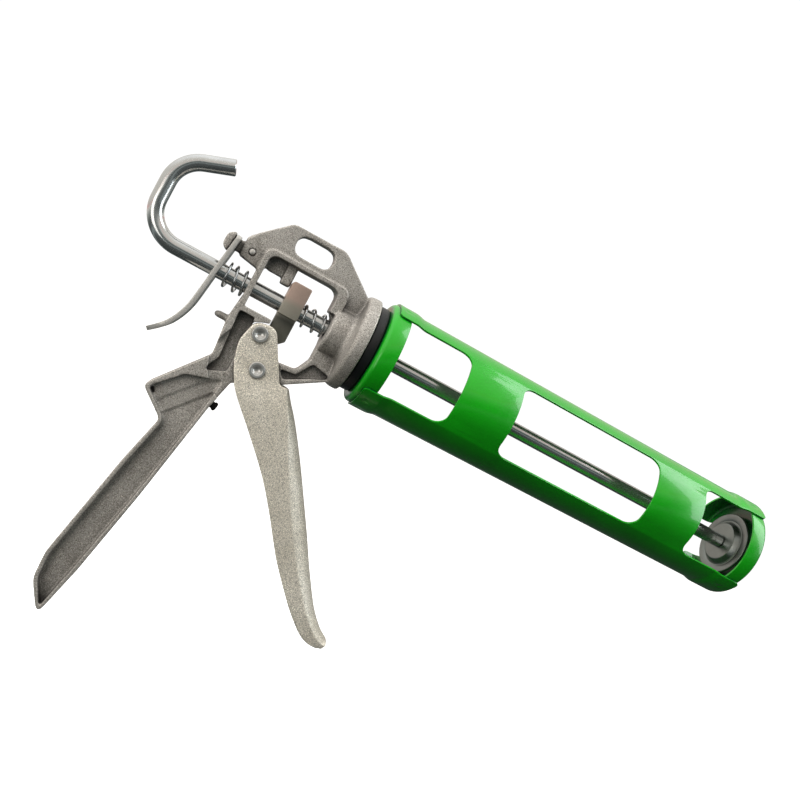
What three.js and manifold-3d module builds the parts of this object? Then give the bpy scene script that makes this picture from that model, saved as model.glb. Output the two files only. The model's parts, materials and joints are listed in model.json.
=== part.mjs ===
// Cartridge caulking gun: cast handle, squeeze trigger, friction-drive push rod and a swivelling
// sheet-metal cradle. Millimetres. Inside the gun group X runs along the push rod towards the nozzle,
// Z points up, away from the hand grip, and x = 0 is the rear face of the cradle.
import * as THREE from 'three';
import { mergeVertices } from 'three/addons/utils/BufferGeometryUtils.js';
import Module from 'manifold-3d';

const wasm = await Module();
wasm.setup();

// Push rod
const ROD_RADIUS = 4;
const BORE_RADIUS = 4.4;
const SPIGOT_RADIUS = 2.9;
const HOOK_START = -105.1;
const HOOK_RADIUS = 16.7;
const HOOK_RISE = 9;
const HOOK_TURN = THREE.MathUtils.degToRad(68);
const HOOK_END_LENGTH = 15;

// Plunger: the front of its ring, clear of the seat of a cartridge's front end, and the hole for the spigot
const PLUNGER_FRONT = 238.8;
const PLUNGER_BORE = 3.15;

// Cradle
const CRADLE_LENGTH = 242;
// The free-turning cradle rests a little way round from square with the handle
const CRADLE_TURN = THREE.MathUtils.degToRad(7.3);
const SHEET = 1;
const BARREL_RADIUS = 27.5;
const CAP_RADIUS = 27.4;
const CAP_DEPTH = 10;
const STRIP_RADIUS = 28.8;
const STRIP_REAR = 3;
const STRIP_FRONT = 241.3;
const JOGGLE_START = 12.5;
const JOGGLE_END = 18.5;
const OPEN_SIDE_Y = 3.8;
const WINDOW_HALF = 19.15;
const WINDOW_CORNER = 7;
const BANDS = [[46, 77.2], [165.7, 197.4]];
const NOZZLE_SLOT = 22;
const HORN_ROUND = 5;

// Swivel at the front of the handle
const NOSE_RADIUS = 8;
const FLANGE_RADIUS = 25;
const FLANGE_FRONT = -5.7;
const SWIVEL_BORE = NOSE_RADIUS + 0.35;
const SWIVEL_RING_RADIUS = 23;
const RETAINER_RADIUS = 13;
// A cartridge's rear rim sits on the rear cap's flat, all round the retaining washer
const REAR_SEAT_INNER = 13.6;

// Handle
const WEB = 2.6;
const POCKET_WEB = 4;
const TOP_PLATE = 4.6;
const RIM = 8.5;
const NARROW = 5.6;
const TRIGGER_SWEEP = 23;
const BOSS_REAR = -24;
const BOSS_RADIUS = 13;
const PILLAR_REAR = -67.4;

// Trigger
const PIVOT = [-45, -34];
const PUSHER = [-51.6, -18];
const PLATE_THICKNESS = 2;
const EAR_INNER = 6.3;
const FLARE_INNER = 7.6;
const FLARE_Z = -39.4;
const RIVET_SHANK = 2.2;
const RIVET_HEAD = 4.2;
const RIVET_HOLE = 2.5;

// Springs and release plate
const SPRING_WIRE = 0.6;
const SPRING_TURNS = 3;
const DRIVE_SPRING_RADIUS = 5.5;
const RELEASE_SPRING_RADIUS = 6.2;
const PLATE_BORE = 4.7;
const STOP_PIN = [-72.8, 15.2];

// The hand grip's middle, which is the origin of the whole model
const GRIP_MIDDLE = [-75, 0, -115];

const ROUND = 40;
const FLATNESS = 0.004;
const QUARTER_TURN = Math.PI / 2;

function solidOf(geometry) {
  const bare = geometry.clone();
  bare.deleteAttribute('normal');
  bare.deleteAttribute('uv');
  const merged = mergeVertices(bare, 1e-4);
  return new wasm.Manifold(new wasm.Mesh({
    numProp: 3,
    vertProperties: new Float32Array(merged.attributes.position.array),
    triVerts: new Uint32Array(merged.index.array),
  }));
}

// Flat areas that a join or a cut has split are merged again before the triangles are read back
function geometryOf(solid) {
  const mesh = solid.asOriginal().simplify(FLATNESS).getMesh();
  const geometry = new THREE.BufferGeometry();
  geometry.setAttribute('position', new THREE.BufferAttribute(new Float32Array(mesh.vertProperties), 3));
  geometry.setIndex(new THREE.BufferAttribute(new Uint32Array(mesh.triVerts), 1));
  geometry.computeVertexNormals();
  return geometry;
}

function join(...geometries) {
  return geometryOf(geometries.map(solidOf).reduce((whole, piece) => whole.add(piece)));
}

function cut(base, ...tools) {
  return geometryOf(tools.map(solidOf).reduce((whole, tool) => whole.subtract(tool), solidOf(base)));
}

function common(a, b) {
  return geometryOf(solidOf(a).intersect(solidOf(b)));
}

// A closed outline of [x, z, corner radius] corners; a bend too slight to round stays a plain corner
function outline(corners) {
  const LEAST_REACH = 0.35;
  const shape = new THREE.Shape();
  corners.forEach(([x, z, wanted = 0], index) => {
    const corner = new THREE.Vector2(x, z);
    const previous = corners[(index + corners.length - 1) % corners.length];
    const next = corners[(index + 1) % corners.length];
    const back = new THREE.Vector2(previous[0], previous[1]).sub(corner).normalize();
    const ahead = new THREE.Vector2(next[0], next[1]).sub(corner).normalize();
    const halfAngle = Math.acos(back.dot(ahead)) / 2;
    const radius = wanted / Math.tan(halfAngle) < LEAST_REACH ? 0 : wanted;
    const reach = radius / Math.tan(halfAngle);
    const start = corner.clone().addScaledVector(back, reach);
    const end = corner.clone().addScaledVector(ahead, reach);
    if (index === 0) shape.moveTo(start.x, start.y);
    else shape.lineTo(start.x, start.y);
    if (radius > 0) shape.quadraticCurveTo(x, z, end.x, end.y);
  });
  shape.closePath();
  return shape;
}

// An outline in the XZ plane given a thickness along Y, from one y to another
function slab(corners, half, middle = 0) {
  const options = { depth: 2 * half, bevelEnabled: false, curveSegments: 4 };
  const geometry = new THREE.ExtrudeGeometry(outline(corners), options);
  geometry.translate(0, 0, -half);
  geometry.rotateX(QUARTER_TURN);
  geometry.translate(0, middle, 0);
  return geometry;
}

// A solid of revolution about X from [x, radius] points
function turned(points, segments = ROUND) {
  const profile = points.map(([x, radius]) => new THREE.Vector2(radius, x));
  const onAxis = profile[0].x === 0;
  if (THREE.ShapeUtils.area(profile) < 0) profile.reverse();
  if (!onAxis) profile.push(profile[0].clone());
  const geometry = new THREE.LatheGeometry(profile, segments);
  geometry.rotateZ(-QUARTER_TURN);
  return geometry;
}

function barAlongX(x0, x1, radius, segments = ROUND) {
  return turned([[x0, 0], [x0, radius], [x1, radius], [x1, 0]], segments);
}

function barAlongY([x, z], y0, y1, radius, segments = 32) {
  const geometry = new THREE.CylinderGeometry(radius, radius, y1 - y0, segments);
  geometry.translate(x, (y0 + y1) / 2, z);
  return geometry;
}

function block(low, high) {
  const geometry = new THREE.BoxGeometry(high[0] - low[0], high[1] - low[1], high[2] - low[2]);
  geometry.translate((low[0] + high[0]) / 2, (low[1] + high[1]) / 2, (low[2] + high[2]) / 2);
  return geometry;
}

// A path through points, one step between each pair
class PointPath extends THREE.Curve {
  constructor(points) {
    super();
    this.points = points;
  }

  getPoint(t) {
    const place = Math.min(Math.max(t, 0), 1) * (this.points.length - 1);
    const index = Math.min(Math.floor(place), this.points.length - 2);
    return this.points[index].clone().lerp(this.points[index + 1], place - index);
  }

  getUtoTmapping(u) {
    return u;
  }
}

function wire(points, radius, sides) {
  const section = new THREE.Shape();
  for (let side = 0; side < sides; side += 1) {
    const angle = (side / sides) * 2 * Math.PI;
    if (side === 0) section.moveTo(radius * Math.cos(angle), radius * Math.sin(angle));
    else section.lineTo(radius * Math.cos(angle), radius * Math.sin(angle));
  }
  section.closePath();
  return new THREE.ExtrudeGeometry(section, { steps: points.length - 1, extrudePath: new PointPath(points) });
}

function coil(x0, x1, coilRadius) {
  const STEPS_PER_TURN = 14;
  const count = SPRING_TURNS * STEPS_PER_TURN;
  const points = [];
  for (let step = 0; step <= count; step += 1) {
    const angle = (step / STEPS_PER_TURN) * 2 * Math.PI;
    const x = x0 + SPRING_WIRE + (x1 - x0 - 2 * SPRING_WIRE) * (step / count);
    points.push(new THREE.Vector3(x, coilRadius * Math.cos(angle), coilRadius * Math.sin(angle)));
  }
  return wire(points, SPRING_WIRE, 6);
}

// Outlines of the handle casting
const SILHOUETTE = [
  [-77.2, 21.8, 2], [-61.2, 37, 5], [-32.6, 37.6, 7], [-12.5, 22.5, 1], [-9, 22, 0], [-9, -22, 0],
  [-19.5, -28.3, 3], [-31.5, -35.5, 3], [-40, -44.2, 7], [-53, -45, 2], [-57, -61, 12],
  [-66.3, -113, 0], [-75.4, -157, 0], [-82.6, -184.5, 2.4], [-91.8, -168.6, 12], [-92.2, -155, 20],
  [-81.6, -103.5, 0], [-74.6, -75.8, 4.5], [-88.7, -64.2, 3], [-67.2, -37.5, 5], [-69, -18, 6],
  [PILLAR_REAR, -4, 0], [PILLAR_REAR, 9.4, 1], [-77.5, 11.2, 1],
];
const WINDOW = [
  [-64.4, 18.8, 4.5], [-27, 18.8, 5], [-27, 8, 0], [-24.2, 4, 0], [-24.2, -18, 4], [-28, -25.4, 3],
  [-38, -26.4, 2], [-45, -26, 2], [-57, -24, 3], [-57, -10.2, 0.6], [-64.4, -10.2, 1],
];
const UPPER_POCKET = [
  [-65.4, -12.2, 1], [-57.4, -12.2], [-57.4, -41.5, 2], [-68, -45.8, 1.5], [-63.6, -37, 5], [-65, -18, 6],
];
const LOWER_POCKET = [
  [-56.8, -46.2, 1.5], [-59.2, -64, 8], [-68.6, -115], [-77.4, -156], [-83.3, -180.6, 1.2],
  [-89.8, -167.8, 10], [-90.2, -155.4, 18], [-79.6, -104], [-72.7, -75.4, 5.5],
  [-86, -64, 2], [-74, -51.4, 1],
];
const LOWER_WEB_RECESS = [
  [-35.5, -28.6, 1], [-27.2, -27.6, 2], [-21.8, -19, 2], [-12.6, -21], [-12.6, -22.8], [-19.6, -26, 2],
  [-32, -32.6, 2],
];
// Where the silhouette is thick: the top plate, the grip, and the zone that runs between the trigger ears
const TOP_REGION = [[-67.4, 17.4], [-78, 27.4], [-78, 45], [-5, 45], [-5, 12], [-24, 10], [-24, 17.4]];
const GRIP_REGION = [[-50, -9.4], [-100, -9.4], [-100, -200], [-50, -200]];
const NARROW_REGION = [[-66.5, -9.4], [-5, -9.4], [-5, -50], [-52, -60], [-72, -60], [-68, -40]];
const EYE_SLOT = [[-56.4, 24.2, 5.2], [-36.2, 24.2, 5.2], [-36.2, 34.6, 5.2], [-56.4, 34.6, 5.2]];

function flangeAndBoss() {
  return turned([
    [BOSS_REAR, 0], [BOSS_REAR, BOSS_RADIUS - 0.8], [BOSS_REAR + 0.8, BOSS_RADIUS], [-14.6, BOSS_RADIUS],
    [-13.2, 14.5], [-12.4, 18], [-12, 22.6], [-11, 24.2], [-8, FLANGE_RADIUS], [FLANGE_FRONT, FLANGE_RADIUS],
    [FLANGE_FRONT, NOSE_RADIUS], [6.6, NOSE_RADIUS], [6.6, 0],
  ]);
}

// The narrow neck and bulb that the release plate's fork hangs on
function releaseHook() {
  const lug = slab([[-68, 18], [-68, 9.3], [-77.8, 11, 1], [-77.8, 20.6, 1], [-70, 27.4]], 3.4);
  const neck = slab([[-76, 12], [-85, 12], [-85, 18], [-76, 18]], 2.3);
  const bulb = slab([[-82.5, 20.4, 1], [-86.9, 18.4, 4], [-86.9, 11.6, 3], [-83.8, 10, 0.6]], 4.6);
  return join(lug, neck, bulb);
}

function handleFrame() {
  const web = cut(slab(SILHOUETTE, WEB), slab(WINDOW, RIM));
  const topPlate = cut(common(slab(SILHOUETTE, TOP_PLATE), slab(TOP_REGION, RIM)), slab(WINDOW, 2 * RIM));
  const windowRim = cut(slab([
    [PILLAR_REAR, -9.5, 1], [PILLAR_REAR, 8, 0], [PILLAR_REAR, 21.4, 6], [-22, 21.4, 6], [-22, 8, 0],
    [-24, 4, 0], [-24, -9.5, 0],
  ], RIM), slab(WINDOW, 2 * RIM), block([-64.5, -20, -20], [-20, 20, 7.5]));
  const sweep = barAlongY(PIVOT, -2 * RIM, 2 * RIM, TRIGGER_SWEEP, 64);
  const gripRim = cut(common(slab(SILHOUETTE, RIM), slab(GRIP_REGION, 2 * RIM)), sweep,
    slab(UPPER_POCKET, 2 * RIM), slab(LOWER_POCKET, 2 * RIM));
  const gripWeb = slab(LOWER_POCKET, POCKET_WEB);
  const narrow = cut(common(slab(SILHOUETTE, NARROW), slab(NARROW_REGION, 2 * RIM)), slab(WINDOW, 2 * RIM),
    slab(UPPER_POCKET, 2 * RIM), slab(LOWER_POCKET, 2 * RIM), slab(LOWER_WEB_RECESS, 2 * RIM));
  const pivotBoss = barAlongY(PIVOT, -NARROW - 0.2, NARROW + 0.2, 7.4);
  const stopPad = slab([[-67, 20], [-67, 12.6, 1], [-62, 11.2], [-54.9, 11.2], [-50, 11.2], [-50, 20]], 2.4);
  const stopLug = slab([[-54.9, 20], [-54.9, 8.6, 0.8], [-49.6, 8.6, 0.8], [-49.6, 20]], 4.4);
  const platePeg = turned([[-66, 0], [-66, 1.8], [-73.6, 1.7], [-75, 1.1], [-75.6, 0]], 16);
  platePeg.translate(0, 0, -18.7);
  const body = join(web, topPlate, windowRim, gripRim, gripWeb, narrow, pivotBoss, stopPad, stopLug, platePeg,
    releaseHook(), flangeAndBoss());
  return cut(body, slab(EYE_SLOT, 2 * RIM), barAlongX(-72, 8, BORE_RADIUS, 32),
    barAlongY(PIVOT, -RIM, RIM, RIVET_HOLE), barAlongY(STOP_PIN, -RIM, RIM, 1.6, 20),
    bumperShank(0.15));
}

function plateStopPin() {
  const pin = turned([[-4.6, 0], [-4.5, 0.9], [-3.7, 1.5], [3.7, 1.5], [4.5, 0.9], [4.6, 0]], 20);
  pin.rotateZ(QUARTER_TURN);
  pin.translate(STOP_PIN[0], 0, STOP_PIN[1]);
  return pin;
}

// The bumper's axis lies square to the grip's front edge
const BUMPER_PLACE = [-56.3, 0, -59.5];
const BUMPER_TILT = THREE.MathUtils.degToRad(12);

function bumperShank(extra) {
  const shank = barAlongX(-3.2 - extra, 1.5, 1.8 + extra, 20);
  shank.rotateY(BUMPER_TILT);
  shank.translate(...BUMPER_PLACE);
  return shank;
}

function triggerBumper() {
  const knob = turned([[1.1, 0], [1.1, 2.2], [1.9, 2.3], [2.6, 1.6], [2.9, 0]], 20);
  knob.rotateY(BUMPER_TILT);
  knob.translate(...BUMPER_PLACE);
  return join(bumperShank(0), knob);
}

function ring(x0, x1, inner, outer, edge = 0.4) {
  return turned([
    [x0, inner], [x0, outer - edge], [x0 + edge, outer], [x1 - edge, outer], [x1, outer - edge], [x1, inner],
  ]);
}

function hexNut(x0, x1, bore, acrossFlats) {
  const corners = acrossFlats / 2 / Math.cos(Math.PI / 6);
  const hexagon = barAlongX(x0, x1, corners, 6);
  return cut(hexagon, barAlongX(x0 - 1, x1 + 1, bore, 32));
}

function rearCap() {
  const ROUNDING = 3.2;
  const STEPS = 3;
  const outer = [];
  const inner = [];
  for (let step = 0; step <= STEPS; step += 1) {
    const angle = (step / STEPS) * QUARTER_TURN;
    const x = ROUNDING * (1 - Math.cos(angle));
    const drop = ROUNDING * (1 - Math.sin(angle));
    outer.push([x, CAP_RADIUS - drop]);
    inner.push([SHEET + x * 0.7, CAP_RADIUS - SHEET - drop * 0.7]);
  }
  return turned([[0, SWIVEL_BORE], ...outer, [CAP_DEPTH, CAP_RADIUS], [CAP_DEPTH, CAP_RADIUS - SHEET],
    ...inner.reverse(), [SHEET, REAR_SEAT_INNER], [SHEET, SWIVEL_BORE]], 56);
}

function frontCap() {
  const back = CRADLE_LENGTH - CAP_DEPTH;
  const cup = turned([[CRADLE_LENGTH, 0], [CRADLE_LENGTH, CAP_RADIUS - 1], [CRADLE_LENGTH - 1, CAP_RADIUS],
    [back, CAP_RADIUS], [back, CAP_RADIUS - SHEET], [CRADLE_LENGTH - 2, CAP_RADIUS - SHEET],
    [CRADLE_LENGTH - SHEET, CAP_RADIUS - 2], [CRADLE_LENGTH - SHEET, 0]], 56);
  const slotEnd = barAlongX(back - 5, CRADLE_LENGTH + 5, NOZZLE_SLOT / 2, 32);
  const half = NOZZLE_SLOT / 2;
  const hornCorners = slab([
    [back - 4, -half - 10], [back - 0.1, -half - 10], [back - 0.1, -half, HORN_ROUND],
    [CRADLE_LENGTH + 5, -half], [CRADLE_LENGTH + 5, half],
    [back - 0.1, half, HORN_ROUND], [back - 0.1, half + 10], [back - 4, half + 10],
  ], 13, 27);
  return cut(cup, slotEnd, block([back - 5, 0, -half], [CRADLE_LENGTH + 5, 40, half]), hornCorners);
}

function cradleShell() {
  const wall = [
    [STRIP_REAR, STRIP_RADIUS], [JOGGLE_START, STRIP_RADIUS], [JOGGLE_END, BARREL_RADIUS],
    [CRADLE_LENGTH - JOGGLE_END, BARREL_RADIUS], [CRADLE_LENGTH - JOGGLE_START, STRIP_RADIUS],
    [STRIP_FRONT, STRIP_RADIUS],
  ];
  const inside = wall.map(([x, radius]) => [x, radius - SHEET]).reverse();
  const tube = turned([...wall, ...inside], 80);
  const windows = [[-20, BANDS[0][0]], [BANDS[0][1], BANDS[1][0]], [BANDS[1][1], CRADLE_LENGTH + 20]];
  const cutters = windows.map(([x0, x1]) => slab([
    [x0, -WINDOW_HALF, WINDOW_CORNER], [x1, -WINDOW_HALF, WINDOW_CORNER],
    [x1, WINDOW_HALF, WINDOW_CORNER], [x0, WINDOW_HALF, WINDOW_CORNER],
  ], 20, -20));
  return cut(tube, block([-5, OPEN_SIDE_Y, -40], [CRADLE_LENGTH + 5, 40, 40]), ...cutters);
}

// The rod runs straight from its front end, then turns up and forward into the hook
function pushRod() {
  const shoulder = PLUNGER_FRONT - 4.4;
  const points = [new THREE.Vector3(shoulder, 0, 0), new THREE.Vector3(HOOK_START, 0, 0)];
  const STEPS = 7;
  for (let step = 1; step <= STEPS; step += 1) {
    const angle = (step / STEPS) * QUARTER_TURN;
    const x = HOOK_START - HOOK_RADIUS * Math.sin(angle);
    points.push(new THREE.Vector3(x, 0, HOOK_RADIUS * (1 - Math.cos(angle))));
  }
  const topCentre = HOOK_RADIUS + HOOK_RISE;
  for (let step = 0; step <= STEPS; step += 1) {
    const angle = (step / STEPS) * HOOK_TURN;
    const x = HOOK_START - HOOK_RADIUS * Math.cos(angle);
    points.push(new THREE.Vector3(x, 0, topCentre + HOOK_RADIUS * Math.sin(angle)));
  }
  const last = points[points.length - 1];
  points.push(last.clone().add(new THREE.Vector3(
    HOOK_END_LENGTH * Math.sin(HOOK_TURN), 0, HOOK_END_LENGTH * Math.cos(HOOK_TURN),
  )));
  const spigot = barAlongX(shoulder - 0.2, PLUNGER_FRONT + 1.4, SPIGOT_RADIUS, 24);
  return join(wire(points, ROD_RADIUS, 16), spigot);
}

function plungerDisc() {
  const behindFront = [
    [4.2, PLUNGER_BORE], [4.2, 10.4], [3.7, 11.2], [1.3, 13], [1.3, 13.9], [1.7, 14.6], [1.7, 17.7],
    [1.2, 18.2], [0.5, 18.2], [0, 17.7], [0, 12.4], [2.6, 10], [2.6, PLUNGER_BORE],
  ];
  return turned(behindFront.map(([depth, radius]) => [PLUNGER_FRONT - depth, radius]));
}

const TRIGGER_EARS = [
  [-49.6, -12.2, 1], [-56.4, -13.4, 5], [-59.3, -25, 8], [-56.4, -36, 8], [-51.4, -46.8, 8],
  [-41.5, -56], [-27, -43], [-32, -35.4, 3], [-39.6, -22.6, 6], [-45.4, -12.6, 4],
];
const TRIGGER_LEVER = [
  [-56, -35.8], [-51.4, -46.8, 8], [-41.5, -56], [-25.5, -72.1, 20], [-5.1, -96.9, 20], [17, -125.7, 20],
  [36, -145.6, 6], [47, -148.2, 3], [52.6, -142.2, 2], [40.4, -134.2, 8], [24.1, -109.6, 20],
  [1.8, -74.4, 20], [-16.8, -47.6, 10], [-25.6, -35.6, 2],
];
// The hollow behind the lever's front wall, open towards the grip
const TRIGGER_HOLLOW = [
  [-62, -30], [-28.6, -30], [-28.6, -37.6], [-19.3, -48.6, 10], [-0.6, -75.8, 20], [21.4, -111, 20],
  [34.4, -132.4, 4], [28.6, -136.6, 4], [10, -126], [-40, -80],
];

function trigger() {
  const earOuter = EAR_INNER + PLATE_THICKNESS;
  const flareOuter = FLARE_INNER + PLATE_THICKNESS;
  const lever = join(slab(TRIGGER_LEVER, earOuter),
    cut(slab(TRIGGER_LEVER, flareOuter), block([-70, -20, FLARE_Z], [60, 20, 0])));
  const hollow = join(slab(TRIGGER_HOLLOW, EAR_INNER),
    cut(slab(TRIGGER_HOLLOW, FLARE_INNER), block([-80, -20, FLARE_Z - 3], [60, 20, 0])));
  const between = slab([[-70, 0], [-20, 0], [-20, -37.6], [-30, -60], [-70, -60]], EAR_INNER);
  const ears = cut(slab(TRIGGER_EARS, earOuter), between);
  return cut(join(cut(lever, hollow), ears), barAlongY(PIVOT, -20, 20, RIVET_HOLE),
    barAlongY(PUSHER, -20, 20, RIVET_HOLE));
}

// A domed rivet through both ears, its heads standing just off them
function rivet([x, z]) {
  const seat = EAR_INNER + PLATE_THICKNESS + 0.05;
  const dome = [
    [seat + 1.5, 0], [seat + 1.5, 2], [seat + 0.9, 3.6], [seat + 0.3, RIVET_HEAD], [seat, RIVET_HEAD],
  ];
  const profile = [...dome, [seat, RIVET_SHANK]];
  const mirrored = profile.map(([y, radius]) => [-y, radius]).reverse();
  const geometry = turned([...profile, ...mirrored], 24);
  geometry.rotateZ(QUARTER_TURN);
  geometry.translate(x, 0, z);
  return geometry;
}

function driveBlock() {
  const head = slab([[-49.2, 12.6, 1.4], [-39.2, 12.6, 0.6], [-39.2, -4.6, 0.4], [-49.2, -4.6, 0.4]], 8);
  const leg = slab([[-49.2, -3], [-49.2, -19.6, 0.6], [-43, -19.6, 1], [-39.2, -16, 1], [-39.2, -3]], 4.2);
  return cut(join(head, leg), barAlongX(-52, -36, BORE_RADIUS, 32));
}

// A thin lever: a forked top end around the neck, a rod hole, and a thumb tab swept back
function releasePlate() {
  const side = slab([
    [-82, 18.8, 0], [-83.2, 10, 0], [-86, -10, 0], [-87.4, -19.5, 14], [-92, -32, 12], [-100.3, -39.9, 0.5],
    [-99.1, -41.2, 0.5], [-90, -33.4, 12], [-85.2, -19.6, 14], [-83.8, -10, 0], [-81, 10, 0],
    [-79.8, 18.6, 0],
  ], 11);
  const width = new THREE.Shape();
  width.moveTo(-8.6, 20);
  width.quadraticCurveTo(-10.4, 20, -10.4, 17.5);
  width.lineTo(-10.4, -30);
  width.quadraticCurveTo(-10.4, -43.4, 0, -43.4);
  width.quadraticCurveTo(10.4, -43.4, 10.4, -30);
  width.lineTo(10.4, 17.5);
  width.quadraticCurveTo(10.4, 20, 8.6, 20);
  width.closePath();
  const face = new THREE.ExtrudeGeometry(width, { depth: 40, bevelEnabled: false, curveSegments: 6 });
  face.rotateX(QUARTER_TURN);
  face.rotateZ(-QUARTER_TURN);
  face.translate(-70, 0, 0);
  const fork = block([-95, -2.7, 11.6], [-75, 2.7, 30]);
  return cut(common(side, face), barAlongX(-95, -75, PLATE_BORE, 32), fork);
}

const FINISH = {
  castAlloy: { color: 0x8b8680, roughness: 0.6, metalness: 0.7 },
  pressedSteel: { color: 0xa8a294, roughness: 0.5, metalness: 0.7 },
  chrome: { color: 0xd0d2d4, roughness: 0.12, metalness: 1 },
  zinc: { color: 0xa9abac, roughness: 0.35, metalness: 0.9 },
  sinteredSteel: { color: 0x8c7a6c, roughness: 0.5, metalness: 0.8 },
  springSteel: { color: 0x9ea2a4, roughness: 0.25, metalness: 1 },
  greenPaint: { color: 0x18a020, roughness: 0.25, metalness: 0 },
  blackNylon: { color: 0x151617, roughness: 0.5, metalness: 0 },
  blackRubber: { color: 0x101010, roughness: 0.8, metalness: 0 },
};

function piece(name, geometry, finish) {
  const mesh = new THREE.Mesh(geometry, new THREE.MeshStandardMaterial(FINISH[finish]));
  mesh.name = name;
  return mesh;
}

const handle = new THREE.Group().add(
  piece('handle_frame', handleFrame(), 'castAlloy'),
  piece('plate_stop_pin', plateStopPin(), 'zinc'),
  piece('trigger_bumper', triggerBumper(), 'blackRubber'),
  piece('swivel_ring', ring(-5.5, -0.2, SWIVEL_BORE, SWIVEL_RING_RADIUS, 0.8), 'blackNylon'),
  piece('retaining_washer', ring(1.3, 2.5, SWIVEL_BORE, RETAINER_RADIUS), 'zinc'),
  piece('retaining_nut', hexNut(2.7, 6.4, SWIVEL_BORE, 22), 'zinc'),
);

const cradle = new THREE.Group().add(
  piece('rear_cap', rearCap(), 'greenPaint'),
  piece('cradle_shell', cradleShell().rotateX(-CRADLE_TURN), 'greenPaint'),
  piece('front_cap', frontCap().rotateX(-CRADLE_TURN), 'greenPaint'),
);

const plunger = new THREE.Group().add(
  piece('push_rod', pushRod(), 'chrome'),
  piece('plunger_disc', plungerDisc(), 'zinc'),
  piece('plunger_washer', ring(PLUNGER_FRONT - 2.5, PLUNGER_FRONT - 1.6, PLUNGER_BORE, 6.5, 0.2), 'zinc'),
  piece('plunger_nut', hexNut(PLUNGER_FRONT - 1.5, PLUNGER_FRONT + 1, PLUNGER_BORE, 8.8), 'zinc'),
);

const squeeze = new THREE.Group().add(
  piece('trigger', trigger(), 'pressedSteel'),
  piece('pivot_rivet', rivet(PIVOT), 'zinc'),
  piece('pusher_rivet', rivet(PUSHER), 'zinc'),
);

const drive = new THREE.Group().add(
  piece('drive_block', driveBlock(), 'sinteredSteel'),
  piece('drive_spring', coil(-38.8, -24.4, DRIVE_SPRING_RADIUS), 'springSteel'),
  piece('release_plate', releasePlate(), 'zinc'),
  piece('release_spring', coil(-80.2, -67.8, RELEASE_SPRING_RADIUS), 'springSteel'),
);

const gun = new THREE.Group().add(handle, cradle, plunger, squeeze, drive);
gun.position.set(-GRIP_MIDDLE[0], -GRIP_MIDDLE[1], -GRIP_MIDDLE[2]);

export default new THREE.Group().add(gun);
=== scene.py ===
import json
import math

import bmesh
import bpy
from mathutils import Matrix, Vector


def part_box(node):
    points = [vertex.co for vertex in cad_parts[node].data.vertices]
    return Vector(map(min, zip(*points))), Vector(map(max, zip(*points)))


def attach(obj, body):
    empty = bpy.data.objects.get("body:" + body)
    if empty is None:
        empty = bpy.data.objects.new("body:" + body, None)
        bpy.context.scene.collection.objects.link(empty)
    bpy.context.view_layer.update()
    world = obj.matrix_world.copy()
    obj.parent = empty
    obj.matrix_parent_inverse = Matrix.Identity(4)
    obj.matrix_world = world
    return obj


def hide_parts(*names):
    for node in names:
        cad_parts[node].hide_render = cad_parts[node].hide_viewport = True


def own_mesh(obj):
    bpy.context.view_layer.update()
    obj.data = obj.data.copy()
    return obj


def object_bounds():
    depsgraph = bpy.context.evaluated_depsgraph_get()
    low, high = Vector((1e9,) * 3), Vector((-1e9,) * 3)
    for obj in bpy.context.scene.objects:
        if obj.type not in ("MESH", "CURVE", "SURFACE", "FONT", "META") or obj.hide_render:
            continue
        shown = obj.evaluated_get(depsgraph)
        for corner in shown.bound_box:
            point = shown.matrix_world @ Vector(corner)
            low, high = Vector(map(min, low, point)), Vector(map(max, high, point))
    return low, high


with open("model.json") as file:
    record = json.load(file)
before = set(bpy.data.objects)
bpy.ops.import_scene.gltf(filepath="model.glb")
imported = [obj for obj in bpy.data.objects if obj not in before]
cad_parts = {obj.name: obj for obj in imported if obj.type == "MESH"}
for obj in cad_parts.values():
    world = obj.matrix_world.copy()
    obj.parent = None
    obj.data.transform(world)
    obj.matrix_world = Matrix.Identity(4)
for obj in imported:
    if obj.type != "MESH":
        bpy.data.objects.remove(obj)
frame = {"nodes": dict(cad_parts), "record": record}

CAD_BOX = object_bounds()

# Lengths below are in millimetres about the push rod's axis: x runs along the rod towards the nozzle
# from the cradle's rear face, y across, z up. in_row() turns them into metres in the row frame.
MM = 0.001
JOINTS = {joint["name"]: joint for joint in frame["record"]["behaviour"]["joints"]}
ROD_AXIS = Vector(JOINTS["rod_turn"]["pos_m"])
MM_PER_METRE = 1000
TO_ROW, FROM_ROW = Matrix.Translation(ROD_AXIS), Matrix.Translation(-ROD_AXIS)

# Turns a lathe's axis from along the gun to across it
ACROSS = Matrix.Rotation(math.pi / 2, 3, "Z")

ROD_BORE = 4.4      # radius of the rod's hole in the casting and the drive block
SWIVEL_BORE = 8.35  # radius of the hole in the rear cap and the swivel ring


def reach(node):
    """The lowest and highest corner of a CAD node, in millimetres about the rod's axis."""
    low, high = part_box(node)
    return (Vector(low) - ROD_AXIS) * MM_PER_METRE, (Vector(high) - ROD_AXIS) * MM_PER_METRE


def pivot(joint):
    """A joint's place, in millimetres about the rod's axis."""
    return (Vector(JOINTS[joint]["pos_m"]) - ROD_AXIS) * MM_PER_METRE


# ---------------------------------------------------------------- mesh helpers

def link(name, mesh):
    piece = bpy.data.objects.new(name, mesh)
    bpy.context.scene.collection.objects.link(piece)
    return piece


def to_object(name, bm):
    mesh = bpy.data.meshes.new(name)
    bm.to_mesh(mesh)
    bm.free()
    return link(name, mesh)


def in_row(name, bm):
    """A bmesh in millimetres becomes an object in the row frame, its faces turned as they are."""
    piece = to_object(name, bm)
    piece.data.transform(TO_ROW @ Matrix.Scale(MM, 4))
    return piece


def make(name, bm):
    """A closed bmesh in millimetres becomes an object in the row frame, its faces turned outwards."""
    bmesh.ops.recalc_face_normals(bm, faces=bm.faces)
    return in_row(name, bm)


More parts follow.
